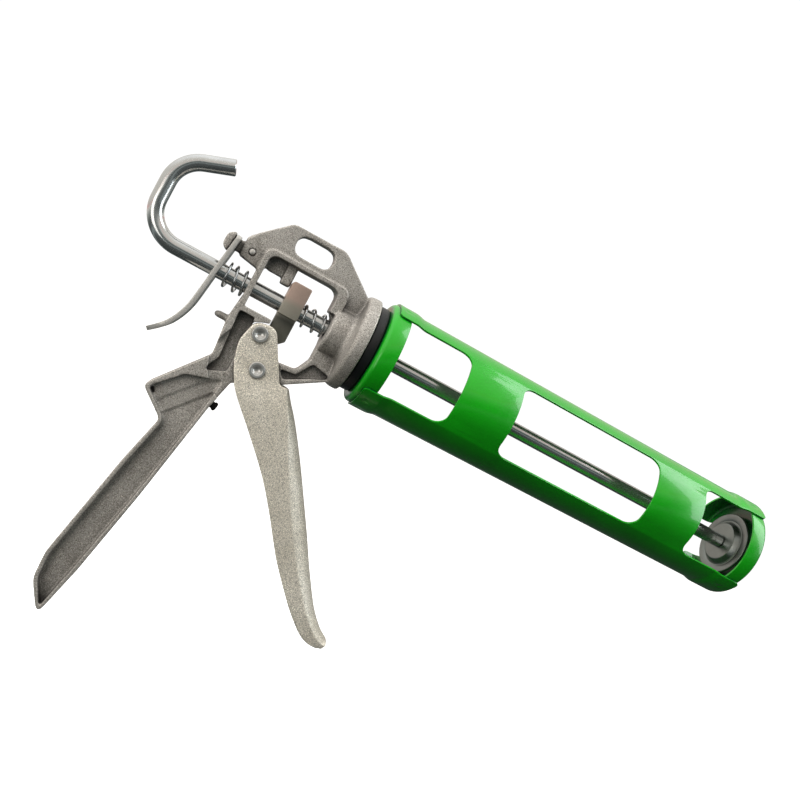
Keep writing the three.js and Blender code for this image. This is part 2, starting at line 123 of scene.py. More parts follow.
def bake(piece):
    graph = bpy.context.evaluated_depsgraph_get()
    mesh = bpy.data.meshes.new_from_object(piece.evaluated_get(graph))
    piece.modifiers.clear()
    piece.data = mesh


def shade(piece, sharp_angle=38):
    piece.data.shade_smooth()
    piece.data.set_sharp_from_angle(angle=math.radians(sharp_angle))


def add_bevel(piece, width, segments, angle):
    """A modifier that rounds the edges sharper than an angle."""
    bevel = piece.modifiers.new("bevel", "BEVEL")
    bevel.width = width * MM
    bevel.segments = segments
    bevel.limit_method = "ANGLE"
    bevel.angle_limit = math.radians(angle)
    return bevel


def soften(piece, width, segments=2, angle=42):
    """Rounds the sharp edges of the mesh itself."""
    add_bevel(piece, width, segments, angle).miter_outer = "MITER_ARC"
    bake(piece)


def carve(piece, *tools, operation="DIFFERENCE"):
    """Cuts tools out of a piece, or joins them to it, and removes the tools."""
    for tool in tools:
        cut = piece.modifiers.new("carve", "BOOLEAN")
        cut.operation = operation
        cut.solver = "EXACT"
        cut.object = tool
        bake(piece)
        bpy.data.objects.remove(tool)


def cast(piece, voxel, passes):
    """Melts a piece's solids into one skin with small fillets, as a casting or a coined part has."""
    remesh = piece.modifiers.new("remesh", "REMESH")
    remesh.mode = "VOXEL"
    remesh.voxel_size = voxel * MM
    smooth = piece.modifiers.new("smooth", "SMOOTH")
    smooth.factor = 0.5
    smooth.iterations = passes
    bake(piece)
    piece.data.shade_smooth()


def merge(name, *pieces):
    """Several overlapping closed solids as one object, ready for cast()."""
    bm = bmesh.new()
    for piece in pieces:
        bm.from_mesh(piece.data)
        bpy.data.objects.remove(piece)
    return to_object(name, bm)


def copy_of(node, name):
    return link(name, frame["nodes"][node].data.copy())


def rounded(corners, degrees=9):
    """A closed outline with its corners rounded: corners are (x, z) or (x, z, radius)."""
    outline = []
    count = len(corners)
    for index, corner in enumerate(corners):
        here = Vector(corner[:2])
        radius = corner[2] if len(corner) > 2 else 0
        back = (Vector(corners[index - 1][:2]) - here).normalized()
        ahead = (Vector(corners[(index + 1) % count][:2]) - here).normalized()
        turn = math.pi - back.angle(ahead)
        if radius == 0 or turn < 0.02:
            outline.append(here)
            continue
        middle = here + (back + ahead).normalized() * radius / math.cos(turn / 2)
        start = here + back * radius * math.tan(turn / 2) - middle
        steps = max(2, round(math.degrees(turn) / degrees))
        sign = 1 if back.x * ahead.y - back.y * ahead.x < 0 else -1
        for step in range(steps + 1):
            outline.append(middle + Matrix.Rotation(sign * turn * step / steps, 2) @ start)
    return outline


def prism(name, outline, y0, y1):
    """A solid with an (x, z) outline, between two places across the gun."""
    bm = bmesh.new()
    rings = [[bm.verts.new((x, y, z)) for x, z in outline] for y in (y0, y1)]
    for index in range(len(outline)):
        bm.faces.new((rings[0][index - 1], rings[0][index], rings[1][index], rings[1][index - 1]))
    bm.faces.new(rings[0])
    bm.faces.new(list(reversed(rings[1])))
    return make(name, bm)


def bridge_rings(bm, rings, closed=False):
    """Faces between each ring and the next, and from the last to the first when closed."""
    sides = len(rings[0])
    for index in range(len(rings) if closed else len(rings) - 1):
        a, b = rings[index], rings[(index + 1) % len(rings)]
        for side in range(sides):
            bm.faces.new((a[side - 1], a[side], b[side], b[side - 1]))


def lathe(name, profile, segments=96, place=(0, 0, 0), turn=None):
    """A solid of revolution about X from (x, radius) points: open ends on the axis, or one closed loop."""
    bm = bmesh.new()
    on_axis = profile[0][1] == 0
    rims = profile[1:-1] if on_axis else profile
    rings = []
    for x, radius in rims:
        angles = [2 * math.pi * side / segments for side in range(segments)]
        rings.append([bm.verts.new((x, radius * math.cos(a), radius * math.sin(a))) for a in angles])
    bridge_rings(bm, rings, closed=not on_axis)
    if on_axis:
        for tip, ring in ((profile[0], rings[0]), (profile[-1], rings[-1])):
            point = bm.verts.new((tip[0], 0, 0))
            for side in range(segments):
                bm.faces.new((ring[side - 1], ring[side], point))
    if turn:
        bmesh.ops.rotate(bm, verts=bm.verts, matrix=turn)
    bmesh.ops.translate(bm, verts=bm.verts, vec=place)
    return make(name, bm)


def arc(x, radius, bend, start, end, steps=5):
    """Profile points on a quarter-round: centre (x, radius), bend radius, angles from +x towards +radius."""
    angles = [math.radians(start + (end - start) * step / steps) for step in range(steps + 1)]
    return [(x + bend * math.cos(a), radius + bend * math.sin(a)) for a in angles]


def tube(name, points, radius, sides=24, chamfer=0.0):
    """A round bar or wire through points, its ends flat with an optional chamfer."""
    points = [Vector(point) for point in points]
    tangents = []
    for index in range(len(points)):
        before = points[max(index - 1, 0)]
        after = points[min(index + 1, len(points) - 1)]
        tangents.append((after - before).normalized())
    sections = [(point, tangent, radius) for point, tangent in zip(points, tangents)]
    if chamfer:
        sections[0] = (points[0] + tangents[0] * chamfer, tangents[0], radius)
        sections[-1] = (points[-1] - tangents[-1] * chamfer, tangents[-1], radius)
        sections.insert(0, (points[0], tangents[0], radius - chamfer))
        sections.append((points[-1], tangents[-1], radius - chamfer))
    bm = bmesh.new()
    across = tangents[0].orthogonal().normalized()
    rings = []
    for point, tangent, size in sections:
        across = (across - tangent * across.dot(tangent)).normalized()
        up = tangent.cross(across)
        ring = []
        for side in range(sides):
            angle = 2 * math.pi * side / sides
            ring.append(bm.verts.new(point + size * (math.cos(angle) * across + math.sin(angle) * up)))
        rings.append(ring)
    bridge_rings(bm, rings)
    bm.faces.new(rings[0])
    bm.faces.new(list(reversed(rings[-1])))
    return make(name, bm)


def sheet_metal(name, loops, cuts, place, outward, thickness, edge):
    """A flat pattern with holes, bent by place(u, v) and given a thickness on its inner side."""
    bm = bmesh.new()
    edges = []
    for loop in loops:
        verts = [bm.verts.new((u, v, 0)) for u, v in loop]
        edges += [bm.edges.new((verts[index - 1], verts[index])) for index in range(len(verts))]
    bmesh.ops.triangle_fill(bm, edges=edges, use_beauty=True)
    for axis, values in enumerate(cuts):
        normal = Vector((axis == 0, axis == 1, 0))
        for value in values:
            everything = bm.verts[:] + bm.edges[:] + bm.faces[:]
            bmesh.ops.bisect_plane(bm, geom=everything, dist=1e-5, plane_co=normal * value, plane_no=normal)
    for vert in bm.verts:
        vert.co = place(vert.co.x, vert.co.y)
    bm.normal_update()
    if sum(face.normal.dot(outward(face.calc_center_median())) for face in bm.faces) < 0:
        bmesh.ops.reverse_faces(bm, faces=bm.faces)
    piece = in_row(name, bm)
    solid = piece.modifiers.new("sheet", "SOLIDIFY")
    solid.thickness = thickness * MM
    solid.offset = -1
    solid.use_even_offset = True
    bake(piece)
    soften(piece, edge, angle=50)
    shade(piece)
    return piece


# ---------------------------------------------------------------- materials

def fill_ramp(ramp, stops):
    """Stops are (position, value) or (position, (r, g, b))."""
    while len(ramp.elements) < len(stops):
        ramp.elements.new(0.5)
    for element, (position, value) in zip(ramp.elements, stops):
        element.position = position
        colour = value if isinstance(value, tuple) else (value, value, value)
        element.color = (*colour, 1)


class Surface:
    """A material with a Principled shader and short calls for the nodes that feed it."""

    def __init__(self, name, **values):
        self.material = bpy.data.materials.new(name)
        self.material.use_nodes = True
        self.tree = self.material.node_tree
        self.shader = self.tree.nodes["Principled BSDF"]
        self.set(**values)
        self.place = self.add("ShaderNodeTexCoord").outputs["Object"]

    def set(self, **values):
        for socket, value in values.items():
            self.shader.inputs[socket.replace("_", " ")].default_value = value

    def add(self, kind, links=(), **values):
        node = self.tree.nodes.new(kind)
        for key, value in values.items():
            setattr(node, key, value)
        for socket, source in dict(links).items():
            if hasattr(source, "is_output"):
                self.tree.links.new(source, node.inputs[socket])
            else:
                node.inputs[socket].default_value = source
        return node

    def stretch(self, x, y, z):
        return self.add("ShaderNodeMapping", {"Vector": self.place, "Scale": (x, y, z)}).outputs["Vector"]

    def noise(self, scale, detail=2.0, rough=0.5, vector=None):
        links = {"Vector": vector or self.place, "Scale": scale, "Detail": detail, "Roughness": rough}
        return self.add("ShaderNodeTexNoise", links).outputs["Fac"]

    def ramp(self, factor, *stops):
        node = self.add("ShaderNodeValToRGB", {"Fac": factor})
        fill_ramp(node.color_ramp, stops)
        return node.outputs["Color"]

    def mix(self, factor, a, b, blend="MIX"):
        node = self.add("ShaderNodeMix", data_type="RGBA", blend_type=blend)
        for index, source in ((0, factor), (6, a), (7, b)):
            if hasattr(source, "is_output"):
                self.tree.links.new(source, node.inputs[index])
            elif index == 0:
                node.inputs[index].default_value = source
            else:
                node.inputs[index].default_value = (*source, 1)
        return node.outputs[2]

    def tint(self, colour, gain):
        """The same colour, brighter or darker."""
        return self.mix(1.0, colour, (gain, gain, gain), "MULTIPLY")

    def blend(self, ground, factor, start, end, colour):
        """The ground passes into a colour by a ramp from start to end, both (factor, share)."""
        return self.mix(self.ramp(factor, start, end), ground, colour)

    def blend_tint(self, ground, factor, start, end, gain):
        """As blend, into the ground's own colour made brighter or darker."""
        return self.mix(self.ramp(factor, start, end), ground, self.tint(ground, gain))

    def recess(self, ground, distance, deep, clear, colour):
        """As blend, where other surfaces stand within a distance in metres: painted shade in recesses."""
        hollow = self.add("ShaderNodeAmbientOcclusion", {"Distance": distance}, samples=8).outputs["AO"]
        return self.blend(ground, hollow, deep, clear, colour)

    def feed(self, socket, source):
        self.tree.links.new(source, self.shader.inputs[socket])

    def bump(self, *layers):
        """Layers are (height, depth in metres, strength)."""
        normal = None
        for height, distance, strength in layers:
            links = {"Height": height, "Distance": distance, "Strength": strength}
            if normal:
                links["Normal"] = normal
            normal = self.add("ShaderNodeBump", links).outputs["Normal"]
        self.feed("Normal", normal)


def cast_metal(name, dark, light, metallic, painted_shade):
    """Sand-grained alloy: bright and dark specks over a blotchy ground, painted shade in recesses and
    crevices, worn on edges.
    """
    surface = Surface(name, Metallic=metallic)
    grain = surface.noise(1700, 2, 0.65)
    fleck = surface.noise(2600, 1, 0.5)
    blotch = surface.noise(60, 3, 0.6)
    ground = surface.blend(dark, blotch, (0.3, 0.0), (0.7, 1.0), light)
    ground = surface.blend_tint(ground, grain, (0.36, 1.0), (0.50, 0.0), 0.5)
    ground = surface.blend_tint(ground, fleck, (0.54, 0.0), (0.64, 0.85), 2.1)
    # Painted shade: surfaces with others close by, in pockets within 14 mm and in crevices within 2.2 mm, are
    # darkened towards near black.
    ground = surface.recess(ground, 0.014, (0.34, painted_shade), (0.80, 0.0), (0.035, 0.033, 0.031))
    ground = surface.recess(ground, 0.0022, (0.45, painted_shade), (0.75, 0.0), (0.03, 0.028, 0.026))
    wear = surface.add("ShaderNodeNewGeometry").outputs["Pointiness"]
    ground = surface.blend_tint(ground, wear, (0.515, 0.0), (0.58, 0.45), 1.7)
    surface.feed("Base Color", ground)
    surface.feed("Roughness", surface.ramp(grain, (0.3, 0.6), (0.7, 0.36)))
    surface.bump((blotch, 0.0004, 0.2), (grain, 0.00016, 0.55), (fleck, 0.00008, 0.4))
    return surface.material


def green_paint():
    """Gloss enamel: green under a clear coat, with painted shade in recesses, and a faint orange-peel ripple.
    """
    surface = Surface("green_paint", Coat_Weight=0.5, Coat_Roughness=0.07)
    blotch = surface.noise(30, 3, 0.6)
    ground = surface.ramp(blotch, (0.3, (0.0008, 0.26, 0.0006)), (0.7, (0.0015, 0.34, 0.001)))
    # Painted shade: darker green where other surfaces stand within 30 mm, as inside the caps.
    ground = surface.recess(ground, 0.03, (0.45, 0.9), (0.85, 0.0), (0.0005, 0.035, 0.014))
    surface.feed("Base Color", ground)
    surface.feed("Roughness", surface.ramp(surface.noise(900, 2, 0.6), (0.45, 0.30), (0.75, 0.42)))
    surface.bump((surface.noise(260, 2, 0.5), 0.0003, 0.10), (surface.noise(40, 1, 0.5), 0.0012, 0.12))
    return surface.material


DRAWN_ALONG_ROD, TURNED, PLAIN = (40, 2600, 2600), (2600, 200, 200), (500, 500, 500)
HAZE_SHADE = 0.85


def bright_metal(name, colour, rough_low, rough_high, lines_per_metre, metallic=1.0):
    """Bright metal with fine lines or an even grain from its making, and a haze of a darker shade."""
    surface = Surface(name, Metallic=metallic)
    lines = surface.noise(1.0, 3, 0.6, surface.stretch(*lines_per_metre))
    haze = surface.noise(90, 3, 0.6)
    dark = tuple(channel * HAZE_SHADE for channel in colour)
    surface.feed("Base Color", surface.blend(dark, haze, (0.35, 0.0), (0.7, 1.0), colour))
    surface.feed("Roughness", surface.ramp(lines, (0.3, rough_low), (0.7, rough_high)))
    surface.bump((lines, 0.00002, 0.35), (haze, 0.0002, 0.06))
    return surface.material


def sintered_steel():
    """Pressed and sintered block: fine pores, brown above the rod, olive at it, and painted shade on the leg
    below, darkest just under the shoulder.
    """
    surface = Surface("sintered_steel", Metallic=0.6)
    pores = surface.noise(2400, 2, 0.6)
    haze = surface.noise(120, 3, 0.6)
    height = surface.add("ShaderNodeSeparateXYZ", {"Vector": surface.place}).outputs["Z"]
    foot, top = ROD_AXIS.z - 0.022, ROD_AXIS.z + 0.013
    rise = surface.add("ShaderNodeMapRange", {"Value": height, "From Min": foot, "From Max": top})
    # Painted shade: the leg below the head is darker, darkest just under the shoulder.
    ground = surface.ramp(
        rise.outputs["Result"], (0.0, (0.22, 0.21, 0.17)), (0.44, (0.14, 0.135, 0.11)),
        (0.50, (0.42, 0.39, 0.32)), (0.66, (0.42, 0.38, 0.31)),
        (0.76, (0.54, 0.40, 0.33)), (1.0, (0.47, 0.34, 0.275)))
    ground = surface.blend_tint(ground, haze, (0.3, 0.0), (0.7, 0.5), 0.75)
    ground = surface.blend(ground, pores, (0.24, 1.0), (0.34, 0.0), (0.08, 0.07, 0.06))
    surface.feed("Base Color", ground)
    surface.feed("Roughness", surface.ramp(haze, (0.3, 0.34), (0.7, 0.5)))
    surface.bump((pores, 0.00008, 0.4))
    return surface.material


def moulded_black(name, colour, rough_low, rough_high, grain):
    """Nylon or rubber with a fine grain."""
    surface = Surface(name)
    fine = surface.noise(grain, 2, 0.6)
    haze = surface.noise(80, 2, 0.5)
    lighter = tuple(channel * 1.8 for channel in colour)
    surface.feed("Base Color", surface.mix(haze, colour, lighter))
    surface.feed("Roughness", surface.ramp(fine, (0.3, rough_low), (0.7, rough_high)))
    surface.bump((fine, 0.00006, 0.4))
    return surface.material


CAST = cast_metal("cast_alloy", (0.29, 0.27, 0.24), (0.395, 0.37, 0.335), metallic=0.35, painted_shade=0.9)
LEVER = cast_metal("trigger_alloy", (0.55, 0.505, 0.42), (0.66, 0.615, 0.525), metallic=0.3, painted_shade=0.3)
PAINT = green_paint()
CHROME = bright_metal("chrome_rod", (0.66, 0.67, 0.66), 0.12, 0.22, DRAWN_ALONG_ROD, metallic=0.92)
RIVET = bright_metal("rivet_steel", (0.60, 0.59, 0.56), 0.16, 0.28, PLAIN, metallic=0.7)
PLATE = bright_metal("plate_steel", (0.56, 0.54, 0.50), 0.28, 0.42, PLAIN, metallic=0.45)
# Painted shade: the plunger disc's zinc steel made darker, a painted dark reflection of its surroundings.
SHADED_ZINC = bright_metal("zinc_steel_painted_shade", (0.27, 0.29, 0.275), 0.30, 0.42, PLAIN)
SPRING = bright_metal("spring_steel", (0.62, 0.64, 0.65), 0.12, 0.25, PLAIN)
ZINC = bright_metal("zinc_steel", (0.56, 0.56, 0.55), 0.22, 0.38, TURNED)
SINTER = sintered_steel()
NYLON = moulded_black("black_nylon", (0.004, 0.0045, 0.005), 0.34, 0.5, 900)
RUBBER = moulded_black("black_rubber", (0.008, 0.008, 0.008), 0.6, 0.8, 1500)


def settle(piece, material, body, slot, *nodes):
    """Gives a piece its material, the body it moves with and the CAD nodes it stands for."""
    piece.data.materials.clear()
    piece.data.materials.append(material)
    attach(piece, body)
    if nodes:
        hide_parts(*nodes)


# ---------------------------------------------------------------- cradle

SHEET = 1.0
BARREL_RADIUS = 27.5    # the shell's outside between its ends
STRIP_RADIUS = 28.5     # the shell's outside where it lies on the caps
CAP_RADIUS = 27.4
JOGGLE = (12.5, 18.5)   # where the shell steps from one radius to the other, from either end
WINDOW_HALF = 19.15
BANDS = ((46.0, 77.2), (165.7, 197.4))
FAR_EDGE = 3.8          # how far the shell's edges reach past its middle plane, onto the far side
CRADLE_TURN = math.radians(7.3)
CRADLE_LENGTH = reach("front_cap")[1].x


def barrel_radius(x):
    """The shell steps outwards at both ends, over the caps."""
    inset = min(x, CRADLE_LENGTH - x)
    share = min(max((inset - JOGGLE[0]) / (JOGGLE[1] - JOGGLE[0]), 0), 1)
    share = share * share * (3 - 2 * share)
    return STRIP_RADIUS + (BARREL_RADIUS - STRIP_RADIUS) * share


def on_barrel(x, along):
    """along is the distance round the barrel from the middle of its windows, positive upwards."""
    angle = along / BARREL_RADIUS + CRADLE_TURN
    radius = barrel_radius(x)
    return Vector((x, -radius * math.cos(angle), radius * math.sin(angle)))


def cradle_shell():
    low, high = reach("cradle_shell")
    top = BARREL_RADIUS * math.asin(WINDOW_HALF / BARREL_RADIUS)
    bottom = -top
    edge = BARREL_RADIUS * (math.pi / 2 + math.asin(FAR_EDGE / BARREL_RADIUS))
    corner, end_round = 6.5, 2.2
    (a0, a1), (b0, b1) = BANDS
    outer = rounded([
        (low.x, -edge, end_round), (high.x, -edge, end_round), (high.x, bottom, end_round),
        (b1, bottom, corner), (b1, top, corner), (high.x, top, end_round),
        (high.x, edge, end_round), (low.x, edge, end_round), (low.x, top, end_round),
        (a0, top, corner), (a0, bottom, corner), (low.x, bottom, end_round),
    ])
    window = rounded([(a1, bottom, corner), (b0, bottom, corner), (b0, top, corner), (a1, top, corner)])
    turns = 56
    around = [-edge + 2 * edge * step / turns for step in range(1, turns)]
    steps = 8
    joggles = [JOGGLE[0] + (JOGGLE[1] - JOGGLE[0]) * step / steps for step in range(steps + 1)]
    end_cut, middle_cut = 4, 120
    lengths = joggles + [CRADLE_LENGTH - x for x in joggles] + [low.x + end_cut, high.x - end_cut, middle_cut]
    shell = sheet_metal("cradle_half_barrel", [outer, window], (lengths, around), on_barrel,
                        lambda point: Vector((0, point.y, point.z)), thickness=SHEET, edge=0.22)
    spot_welds(shell)
    settle(shell, PAINT, "cradle", "green_paint", "cradle_shell")


def spot_welds(shell):
    """Shallow round dents where the shell is welded to the caps."""
    ball, sink, from_end = 6.0, 0.28, 7.0
    for x in (from_end, CRADLE_LENGTH - from_end):
        for degrees in (66, 84, -54, -76):
            angle = math.radians(degrees)
            out = STRIP_RADIUS + ball - sink
            bm = bmesh.new()
            bmesh.ops.create_uvsphere(bm, u_segments=40, v_segments=24, radius=ball)
            bmesh.ops.translate(bm, verts=bm.verts, vec=(x, -out * math.cos(angle), out * math.sin(angle)))
            carve(shell, make("dent", bm))
    shade(shell)


def cap_profile(back, face, hole):
    """A pressed cup with a hole in its face: the face at one end, a rounded corner, the rim towards back."""
    sign = 1 if face > back else -1
    bend = 2.6
    outer = arc(0, 0, bend, 0, 90)
    inner = arc(0, 0, bend - SHEET, 0, 90)
    centre_x, centre_r = face - sign * bend, CAP_RADIUS - bend
    profile = [(face, hole)]
    profile += [(centre_x + sign * x, centre_r + r) for x, r in outer]
    profile += [(back, CAP_RADIUS), (back, CAP_RADIUS - SHEET)]
    profile += [(centre_x + sign * x, centre_r + r) for x, r in reversed(inner)]
    profile += [(face - sign * SHEET, hole)]
    return profile


def paint_cap(cap, node):
    soften(cap, 0.2, angle=60)
    shade(cap)
    settle(cap, PAINT, "cradle", "green_paint", node)


def rear_cap():
    low, high = reach("rear_cap")
    cap = lathe("rear_cap_cup", cap_profile(high.x, low.x, SWIVEL_BORE), 128)
    paint_cap(cap, "rear_cap")


def front_cap():
    """A cup with a slot for the nozzle, cut through its face and, with rounded horns, through its rim."""
    low, high = reach("front_cap")
    slot, horn, first_hole = 11.0, 5.0, 4.0
    rim_from, beyond = 14, 40
    cap = lathe("front_cap_cup", cap_profile(low.x, high.x, first_hole), 128)
    outline = rounded([(-slot, -slot, slot), (slot, -slot, slot), (slot, beyond), (-slot, beyond)], 7)
    face_slot = prism("face_slot", outline, low.x - 5, high.x + 5)
    axes_turned = Matrix(((0, 1, 0), (0, 0, 1), (1, 0, 0))).to_4x4()
    face_slot.data.transform(TO_ROW @ axes_turned @ FROM_ROW)
    edge = low.x - 0.02
    horns = rounded([
        (edge - 4, -slot - 10), (edge, -slot - 10), (edge, -slot, horn), (high.x + 4, -slot),
        (high.x + 4, slot), (edge, slot, horn), (edge, slot + 10), (edge - 4, slot + 10),
    ], 7)
    rim_slot = prism("rim_slot", horns, rim_from, beyond)
    tilt = TO_ROW @ Matrix.Rotation(-CRADLE_TURN, 4, "X") @ FROM_ROW
    for tool in (face_slot, rim_slot):
        tool.data.transform(tilt)
        carve(cap, tool)
    paint_cap(cap, "front_cap")


# ---------------------------------------------------------------- rod and plunger

def push_rod():
    """A straight rod with a reduced end for the plunger and a hook of two arcs with a straight between."""
    low, high = reach("push_rod")
    radius, bend = high.y, 16.7
    start, rise, last_turn, tail = low.x + radius + bend, 9.0, 68, 15.0
    shoulder, spigot_root, spigot_radius = high.x - 5.8, 230, 2.9
    points = [(shoulder, 0, 0), (120, 0, 0), (0, 0, 0), (start + 4, 0, 0), (start, 0, 0)]
    for degrees in range(6, 91, 6):
        angle = math.radians(degrees)
        points.append((start - bend * math.sin(angle), 0, bend * (1 - math.cos(angle))))
    for degrees in range(0, last_turn + 1, 4):
        angle = math.radians(degrees)
        points.append((start - bend * math.cos(angle), 0, bend + rise + bend * math.sin(angle)))
    angle = math.radians(last_turn)
    forward = Vector((math.sin(angle), 0, math.cos(angle)))
    points += [Vector(points[-1]) + forward * step for step in (0.5, tail)]
    rod = tube("hooked_push_rod", points, radius, 48, chamfer=0.45)
    chamfer = 0.4
    spigot = lathe("spigot", [
        (spigot_root, 0), (spigot_root, spigot_radius), (high.x - chamfer, spigot_radius),
        (high.x, spigot_radius - chamfer), (high.x, 0),
    ], 40)
    carve(rod, spigot, operation="UNION")
    shade(rod, 30)
    settle(rod, CHROME, "push_rod", "chrome_rod", "push_rod")


def plunger_disc():
    """Pressed steel: a raised middle, a sloping wall with a groove at its foot, and a flat outer ring."""
    low, high = reach("plunger_disc")
    back, front, radius, bore = low.x, high.x, high.y, 3.15
    profile = [
        (back, bore), (back, 10.2), *arc(back + 1.0, 10.5, 1.0, 170, 130, 3), (back + 2.7, 12.8),
        *arc(back + 2.3, 13.6, 0.8, 300, 390, 4), (back + 2.5, 14.8), (back + 2.5, radius - 0.7),
        *arc(back + 3.1, radius - 0.6, 0.6, 180, 90, 4), *arc(front - 0.6, radius - 0.6, 0.6, 90, 0, 4),
        (front, 12.4), (back + 1.6, 10.0), (back + 1.6, bore),
    ]
    disc = lathe("plunger_disc_pressing", profile, 128)
    shade(disc, 50)
    # The disc takes the darkened zinc steel: painted shade.
    settle(disc, SHADED_ZINC, "plunger", "zinc_steel", "plunger_disc")


def small_cad_parts():
    """Washers and nuts keep their CAD shape, with broken edges."""
    for node in ("retaining_washer", "retaining_nut", "plunger_washer", "plunger_nut"):
        part = frame["nodes"][node]
        add_bevel(part, width=0.15, segments=2, angle=50)
        for slot in part.material_slots:
            slot.material = ZINC


# ---------------------------------------------------------------- swivel and springs

def swivel_ring():
    low, high = reach("swivel_ring")
    outer, bend = high.y, 0.9
    profile = [
        (low.x, SWIVEL_BORE), *arc(low.x + bend, outer - bend, bend, 180, 90),
        *arc(high.x - bend, outer - bend, bend, 90, 0), (high.x, SWIVEL_BORE),
    ]
    ring = lathe("swivel_bearing_ring", profile, 128)
    shade(ring, 50)
    settle(ring, NYLON, "handle", "black_nylon", "swivel_ring")


def coil_spring(name, node, turns, lean):
    """An open coil, closer at its ends. lean tips the first turns over to lie on a slanted plate."""
    low, high = reach(node)
    wire, closing, leaning_turns = 0.6, 0.07, 1.4
    radius = min(high.y, high.z) - wire
    start, end = low.x + wire, high.x - wire
    per_turn = 40
    total = turns * per_turn
    points = []
    for step in range(total + 1):
        share = step / total
        ease = share - closing * math.sin(2 * math.pi * share)
        angle = 2 * math.pi * step / per_turn
        y, z = radius * math.cos(angle), radius * math.sin(angle)
        shift = lean * z * max(0.0, 1 - share * turns / leaning_turns)
        points.append((start + (end - start) * ease + shift, y, z))
    spring = tube(name, points, wire, 12, chamfer=0.1)
    shade(spring, 60)
    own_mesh(spring)
    settle(spring, SPRING, "handle", "spring_steel", node)


# ---------------------------------------------------------------- handle casting

def boss_and_flange(front):
    """The turned front of the casting: boss, bell flange and the nose that the cradle swivels on."""
    flange, nose, boss_rear, boss_front, boss = 25.0, 8.0, -24.0, -15.4, 13.0
    edge, fillet, flange_front = 1.2, 2.6, -5.7
    return lathe("turned", [
        (boss_rear, ROD_BORE), *arc(boss_rear + edge, boss - edge, edge, 180, 90, 4), (boss_front, boss),
        *arc(boss_front, boss + fillet, fillet, 270, 360, 5), (-12.4, 20.6),
        *arc(-10.2, 22.4, 2.4, 180, 100, 5), (-9.0, flange), (flange_front, flange),
        (flange_front, nose), (front, nose), (front, ROD_BORE),
    ], 160)


def top_bevel():
    """Three thin steps that slope the top plate's rear corner."""
    strips = []
    for step in range(1, 4):
        slide = 0.42 * step
        half = 4.6 - 0.3 * step
        strip = [(-74.4 - slide, 23.9 - slide), (-67.4 - slide, 17.2 - slide), (-66, 19), (-72, 25.2)]
        strips.append(prism("bevel", strip, -half, half))
    return strips


def pocket_fan():
    """Two flat steps with slanting edges on the floor of the grip's upper pocket."""
    corner, rib_end, rear_end = (-57.6, -46.4), (-74.2, -51.9), (-84.4, -63.6)
    steps = ((4.7, (-75.4, -73.2), (-56.6, -51.6)), (5.4, (-80.4, -68.8), (-64.6, -50.6)))
    return [prism("fan", [rear_end, foot, tip, corner, rib_end], -half, half) for half, foot, tip in steps]


def handle_casting():
    front = reach("handle_frame")[1].x
    solids = [copy_of("handle_frame", "casting"), boss_and_flange(front), *top_bevel(), *pocket_fan()]
    casting = merge("handle_casting", *solids)
    cast(casting, voxel=0.5, passes=4)
    settle(casting, CAST, "handle", "cast_alloy", "handle_frame")


def stop_pin():
    """A round pin through the rear lug, with its ends rounded over."""
    low, high = reach("plate_stop_pin")
    length, radius = high.y, (high.x - low.x) / 2
    middle = (low + high) / 2
    half = [(0, radius), (length - 0.9, radius), *arc(length - 0.9, radius - 0.8, 0.8, 90, 20, 4)]
    profile = [(-length, 0), *[(-x, r) for x, r in reversed(half[1:])], *half[1:], (length, 0)]
    pin = lathe("lug_stop_pin", profile, 40, (middle.x, 0, middle.z), ACROSS)
    shade(pin, 50)
    settle(pin, PLATE, "handle", "zinc_steel", "plate_stop_pin")


def bumper():
    """A rubber stem in the grip's front edge with a rounded head."""
    place, tilt = (-56.3, 0, -59.5), Matrix.Rotation(math.radians(12), 3, "Y")
    stem = 1.8
    profile = [(-3.2, 0), (-3.2, stem), (1.1, stem), (1.1, 2.0), *arc(1.4, 1.9, 0.3, 180, 90, 3),
               *arc(1.9, 1.3, 0.95, 80, 0, 5), (2.9, 0)]
    knob = lathe("trigger_bumper_knob", profile, 40, place, tilt)
    shade(knob, 50)
    settle(knob, RUBBER, "handle", "black_rubber", "trigger_bumper")


# ---------------------------------------------------------------- trigger

EAR_INNER, EAR_OUTER = 6.3, 8.3
WALL = 2.0
RIVET_HOLE = 2.5
PIVOT = pivot("trigger_squeeze")
PUSHER = (reach("pusher_rivet")[0] + reach("pusher_rivet")[1]) / 2

# Stations down the lever: rear edge (x, z), front wall (x, z), half width, depth of the rounded front
LEVER_STATIONS = [
    (-56.4, -35.6, -26.4, -35.6, 8.3, 1.6), (-53.8, -41.0, -22.4, -41.0, 9.0, 2.6),
    (-48.6, -48.8, -15.9, -49.0, 9.6, 4.4), (-33.2, -64.2, -4.6, -65.0, 9.6, 7.6),
    (-17.8, -80.6, 6.5, -82.0, 9.6, 9.2), (-4.6, -97.8, 16.9, -98.2, 9.6, 9.4),
    (6.4, -113.2, 26.2, -113.2, 9.6, 8.2), (19.7, -128.7, 35.6, -127.3, 9.5, 6.2),
    (27.6, -136.9, 40.6, -133.6, 9.3, 5.0), (36.6, -144.4, 45.8, -138.9, 9.0, 3.8),
    (44.0, -147.0, 49.6, -141.8, 8.5, 2.8), (49.6, -146.6, 51.8, -143.2, 7.6, 1.2),
]

# The rounded front from its start to its tip: share of the depth, share of the half width there
FRONT_SHAPE = ((0.22, 0.91), (0.44, 0.79), (0.62, 0.66), (0.76, 0.52), (0.87, 0.37), (0.95, 0.2), (1.0, 0.0))


def spline(rows, share):
    """Catmull-Rom through rows of numbers, share from 0 to 1."""
    place = share * (len(rows) - 1)
    index = min(int(place), len(rows) - 2)
    t = place - index
    p0, p1 = rows[max(index - 1, 0)], rows[index]
    p2, p3 = rows[index + 1], rows[min(index + 2, len(rows) - 1)]

    def between(a, b, c, d):
        squared, cubed = 2 * a - 5 * b + 4 * c - d, 3 * b - a - 3 * c + d
        return 0.5 * (2 * b + (c - a) * t + squared * t * t + cubed * t ** 3)

    return [between(a, b, c, d) for a, b, c, d in zip(p0, p1, p2, p3)]


